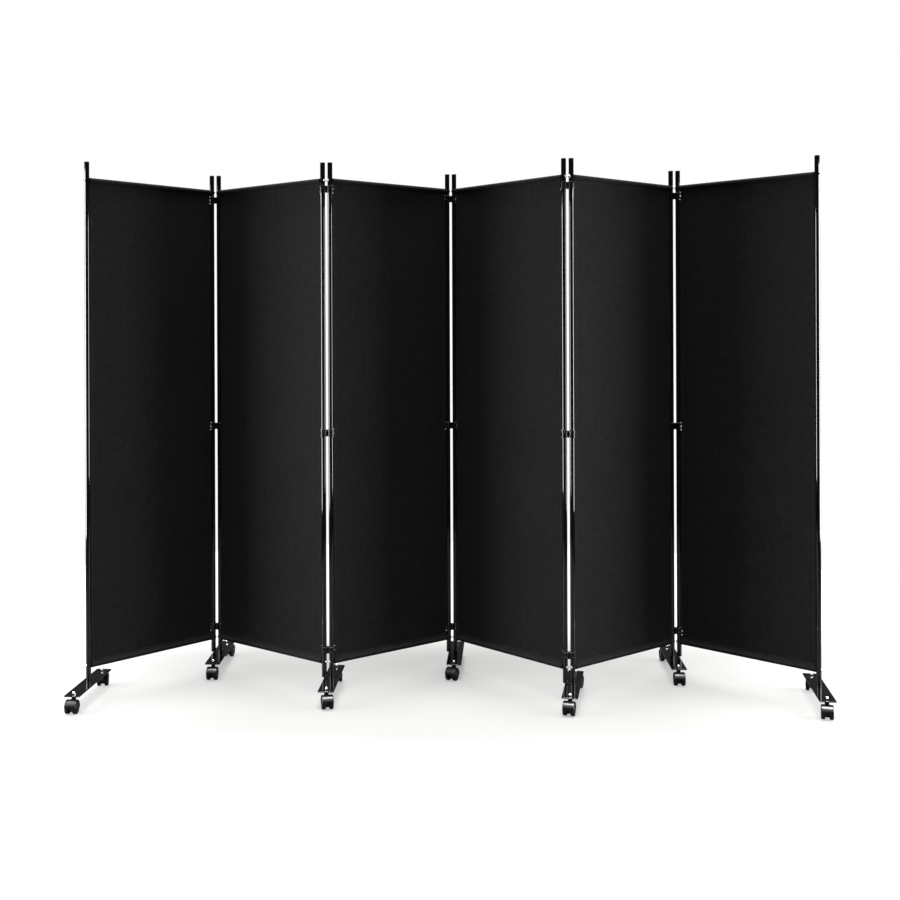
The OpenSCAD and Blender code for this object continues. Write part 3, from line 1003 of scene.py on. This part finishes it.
def make_foot(k):
    """The plate of a foot with the two stems in it and their nuts."""
    place, spacing = foot_frame(k)
    shape = Shape(place)
    edge = fillet([(FOOT_FACE_W, PLATE_H, 0), (0, PLATE_H, FOOT_EDGE_R), (0, PLATE_TOP, FOOT_EDGE_R),
                   (FOOT_FACE_W, PLATE_TOP, 0)], 4)
    rings = []
    for inset, height in edge:
        rings.append(rounded_rectangle(FOOT_W / 2 - inset, FOOT_L / 2 - inset, FOOT_CORNER_R - inset, height))
    shape.add(lofted(rings))
    stem = turned(rod_profile(STEM_R, HOUSING_TOP - STEM_PIN_L, PLATE_TOP + NUT_HEX_H), 20)
    collar = rod_profile(STEM_COLLAR_R, HOUSING_TOP + FACE_GAP, PLATE_H - CLOSE_GAP, STEM_COLLAR_EDGE_R)
    hexagon, dome = domed_nut()
    for sign in (-1, 1):
        at = Matrix.Translation((0, sign * spacing / 2, 0))
        for made, kind in ((stem, 2), (turned(collar, 28), 2), (hexagon, 1), (dome, 1)):
            shape.add(made, kind, at)
    mesh = shape.mesh(f"foot_bar_{k}", (PAINT, PLATING, STEEL))
    even_normals(new_piece(f"foot_bar_{k}", mesh, f"foot_{k}", "foot_steel", f"foot_{k}"))


# Casters


def caster_frame(end, k):
    """A caster's place: the stem at the origin, the axle on the local +Y side, and how far it trails."""
    stem = place_of(f"{end}_caster_{k}_swivel")
    axle = place_of(f"{end}_wheels_{k}_roll")
    trail = (axle - stem).to_2d()
    return upright_frame(stem, (trail.y, -trail.x)), trail.length


def axle_place(trail):
    return Matrix.Translation((0, trail, WHEEL_R)) @ LEVEL


def hood_section():
    """Section of the hood and its web through the axle as (distance from the axle, place along it)."""
    half = fillet([
        (HOOD_BORE_R, WEB_HALF_W, 0), (HOOD_INNER_R, WEB_HALF_W, SOFT_EDGE_R),
        (HOOD_INNER_R, HOOD_HALF_W, EDGE_R), (HOOD_R, HOOD_HALF_W, HOOD_EDGE_R), (HOOD_R, 0, 0),
    ], 3)
    return half + [Vector((radius, -x)) for radius, x in reversed(half[:-1])]


def make_housing(end, k):
    """A caster's housing: a hood over the wheels, a web between them, and the boss that the stem turns in."""
    place, trail = caster_frame(end, k)
    shape = Shape(place)
    axle = axle_place(trail)
    # About the axle an angle of 0 points down, so the hood goes from one lip over the top to the other
    lip = math.pi / 2 + math.radians(HOOD_TURN)
    shape.add(turned(hood_section(), 28, loop=True, start=lip, sweep=math.pi), 0, axle)
    shape.add(turned(rod_profile(WEB_R, -WEB_HALF_W, WEB_HALF_W, SOFT_EDGE_R), 36), 0, axle)
    boss = fillet([(0, BOSS_BOTTOM, 0), (BOSS_R, BOSS_BOTTOM, 0), (BOSS_R, HOUSING_TOP, BOSS_EDGE_R),
                   (0, HOUSING_TOP, 0)], 4)
    shape.add(turned(boss))
    shape.add(fairing(trail))
    name = f"{end}_housing_{k}"
    mesh = shape.mesh(name, (HOUSING_PLASTIC,))
    even_normals(new_piece(name, mesh, f"{end}_caster_{k}", "housing_plastic", f"{end}_caster_{k}"))


def fairing(trail):
    """The rib that joins the boss to the hood's back, with rounded upper edges."""
    half = BOSS_R - RIB_INSET
    top = HOUSING_TOP - RIB_DROP
    fall = top - (WHEEL_R + HOOD_R - RIB_SINK)
    rings = []
    for n in range(RIB_STEPS + 1):
        y = trail * RIB_REACH * n / RIB_STEPS
        height = top - fall * smooth(0, trail, y)
        section = fillet([(-half, BOSS_BOTTOM, 0), (-half, height, RIB_EDGE_R), (half, height, RIB_EDGE_R),
                          (half, BOSS_BOTTOM, 0)], 3)
        rings.append([(x, y, z) for x, z in section])
    return lofted(rings)


def wheel_section():
    """Half section of a wheel as (radius, distance from its inner face), with a dished face and a hub cap."""
    dish = WHEEL_W - DISH_DEPTH
    hub = WHEEL_W + HUB_H
    return fillet([
        (0, 0, 0), (WHEEL_R, 0, TREAD_INNER_EDGE_R), (WHEEL_R, WHEEL_W, TREAD_OUTER_EDGE_R),
        (RIM_R, WHEEL_W, RIM_EDGE_R), (DISH_R, dish, DISH_EDGE_R), (HUB_DISH_R, dish, DISH_EDGE_R),
        (HUB_FOOT_R, WHEEL_W + HUB_FOOT_H, EDGE_R), (HUB_R, hub, HUB_H), (0, hub, 0),
    ], 3)


def make_wheels(end, k):
    place, trail = caster_frame(end, k)
    shape = Shape(place)
    axle = axle_place(trail)
    outwards = Matrix.Translation((0, 0, WHEEL_IN))
    wheel = turned(wheel_section(), 48)
    shape.add(wheel, 0, axle @ outwards)
    shape.add(wheel, 0, axle @ Matrix.Rotation(math.pi, 4, "X") @ outwards)
    reach = WHEEL_IN + AXLE_REACH
    shape.add(turned(rod_profile(AXLE_R, -reach, reach), 20), 1, axle)
    name = f"{end}_wheel_pair_{k}"
    mesh = shape.mesh(name, (WHEEL_PLASTIC, STEEL))
    even_normals(new_piece(name, mesh, f"{end}_wheels_{k}", "wheel_plastic", f"{end}_wheels_{k}"))


for i in PANELS:
    make_poles(i)
    make_crossbars(i)
    make_cloth(i)
for i in PANEL_JOINTS:
    make_clips(i)
for k in FEET:
    make_foot(k)
    for end in ("front", "rear"):
        make_housing(end, k)
        make_wheels(end, k)


# Floor, light and camera

FLOOR_R = 2.7
FLOOR_BOUNCE = 0.05
# Colours under the divider and away from it, with an oval between them that scales the place on the floor.
# The darker colour under the divider is painted shade.
FLOOR_NEAR_SHADED = (0.111, 0.11, 0.108)
FLOOR_FAR = (0.19, 0.189, 0.186)
NEAR_SHADE_OVAL = (0.55, 1.6, 1)
# The glow is weaker in an oval behind the middle, which is painted shade, and stronger beside the divider,
# which is painted light
FLOOR_GLOW = 0.455
FLOOR_PAINTED_SHADE = 0.55
SHADE_OVAL = (0.58, 2.5, 0)
SHADE_SHIFT = (0, -0.875, 0)
FLOOR_SIDE_PAINTED_LIGHT = 1.3
SIDE_GLOW_START = 0.7
SIDE_GLOW_FULL = 1.25
SIDE_BOX_SIZE = (1.3, 1.68)
SIDE_BOX_PLACE = (2.75, -0.45, 1.09)
SIDE_BOX_TURN = (2.75, -0.3, 0)
SIDE_BOX_RADIANCE = 21.5
REAR_BOX_SIZE = (2.4, 1.2)
REAR_BOX_PLACE = (0, 3.0, 2.9)
REAR_BOX_TURN = (0, 3.0, 2.0)
REAR_BOX_RADIANCE = 5.0
OVERHEAD_STRENGTH = 8.4
OVERHEAD_ANGLE = 24
WORLD_FRONT = 0.03
WORLD_BACK = 0.08
WORLD_TOP = 2.4


def make_floor():
    """A pale floor with a soft glow of its own that only the camera sees, so that shade near the feet is
    soft; the glow holds painted shade behind the divider and painted light beside it.
    """
    f = Finish("pale_floor", Specular_IOR_Level=0.2, Emission_Color=(1, 0.997, 0.985, 1))
    seen = f.seen_by_camera()
    where = f.coordinates()
    # Painted shade: the floor's colour darkens towards the divider
    away = f.length(f.scaled(where, NEAR_SHADE_OVAL))
    pale = f.blended(f.ranged(away, 0.8, 1.5, to_low=0.0, to_high=1.0), FLOOR_NEAR_SHADED, FLOOR_FAR)
    f.feed("Base Color", f.blended(seen, grey(FLOOR_BOUNCE), pale))
    # Painted shade: less glow in an oval behind the middle of the divider
    behind = f.length(f.scaled(where, SHADE_OVAL, SHADE_SHIFT))
    shade = f.eased(behind, 0.0, 1.0, to_low=1 - FLOOR_PAINTED_SHADE, to_high=1.0)
    # Painted light: more glow towards and beyond the divider's ends
    across = f.maths("ABSOLUTE", f.parts(where)[0])
    side_painted_light = f.ranged(across, SIDE_GLOW_START, SIDE_GLOW_FULL, FLOOR_GLOW, FLOOR_GLOW * FLOOR_SIDE_PAINTED_LIGHT)
    f.feed("Emission Strength", f.maths("MULTIPLY", seen, f.maths("MULTIPLY", shade, side_painted_light)))
    cloud = f.noise(where, scale=0.8, detail=2.0)
    f.feed("Roughness", f.ranged(cloud, 0.3, 0.7, to_low=0.45, to_high=0.55))
    shape = Shape(Matrix.Identity(4))
    shape.add(turned([(0, 0), (FLOOR_R, 0)], 96))
    floor = bpy.data.objects.new("floor", shape.mesh("floor", (f.material,)))
    bpy.context.scene.collection.objects.link(floor)


def make_softbox(name, place, turn, size, radiance):
    """A large soft light that shines away from the direction of turn. It isn't seen itself."""
    light = bpy.data.lights.new(name, "AREA")
    light.shape = "RECTANGLE"
    light.size, light.size_y = size
    light.energy = radiance * math.pi * light.size * light.size_y
    lamp = bpy.data.objects.new(name, light)
    lamp.location = place
    lamp.rotation_mode = "QUATERNION"
    lamp.rotation_quaternion = Vector(turn).to_track_quat("Z", "Y")
    lamp.visible_camera = False
    bpy.context.scene.collection.objects.link(lamp)


def make_overhead():
    """A round soft light straight above, which leaves little shade beside the panels."""
    light = bpy.data.lights.new("overhead", "SUN")
    light.energy = OVERHEAD_STRENGTH
    light.angle = math.radians(OVERHEAD_ANGLE)
    bpy.context.scene.collection.objects.link(bpy.data.objects.new("overhead", light))


def make_world():
    """White to the camera. As light it is dim behind the divider, dimmer in front, and bright high above."""
    world = bpy.data.worlds.new("studio")
    world.use_nodes = True
    w = Nodes(world.node_tree)
    background = w.tree.nodes["Background"]
    _, backward, upward = w.parts(w.coordinates("Generated"))
    sides = w.eased(backward, -0.1, 0.5, to_low=WORLD_FRONT, to_high=WORLD_BACK)
    fade = w.eased(upward, 0.15, 0.27, to_low=1.0, to_high=0.72)
    top = w.eased(upward, 0.5, 0.8, to_low=0.0, to_high=WORLD_TOP)
    lit = w.maths("ADD", w.maths("MULTIPLY", sides, fade), top)
    background.inputs["Color"].default_value = (1, 1, 1, 1)
    w.tree.links.new(w.maths("MAXIMUM", lit, w.seen_by_camera()), background.inputs["Strength"])
    bpy.context.scene.world = world


def make_camera():
    data = bpy.data.cameras.new("camera")
    data.sensor_width = SENSOR_W
    data.lens = SENSOR_W * FOCAL_PX / FRAME_PX
    data.shift_x = (FRAME_PX / 2 - CENTRE_PX) / FRAME_PX
    data.shift_y = (HORIZON_PX - FRAME_PX / 2) / FRAME_PX
    camera = bpy.data.objects.new("camera", data)
    turn = Matrix.Rotation(CAMERA_TURN, 4, "Z") @ Matrix.Rotation(math.pi / 2, 4, "X")
    camera.matrix_world = Matrix.Translation(CAMERA_PLACE) @ turn @ Matrix.Rotation(-CAMERA_ROLL, 4, "Z")
    bpy.context.scene.collection.objects.link(camera)
    bpy.context.scene.camera = camera


make_floor()
make_world()
make_overhead()
for name, sign in (("left_softbox", -1), ("right_softbox", 1)):
    mirror = Matrix.Diagonal((sign, 1, 1))
    place = mirror @ Vector(SIDE_BOX_PLACE)
    turn = mirror @ Vector(SIDE_BOX_TURN)
    make_softbox(name, place, turn, SIDE_BOX_SIZE, SIDE_BOX_RADIANCE)
make_softbox("rear_softbox", REAR_BOX_PLACE, REAR_BOX_TURN, REAR_BOX_SIZE, REAR_BOX_RADIANCE)
make_camera()
bpy.context.scene.view_settings.view_transform = "Standard"
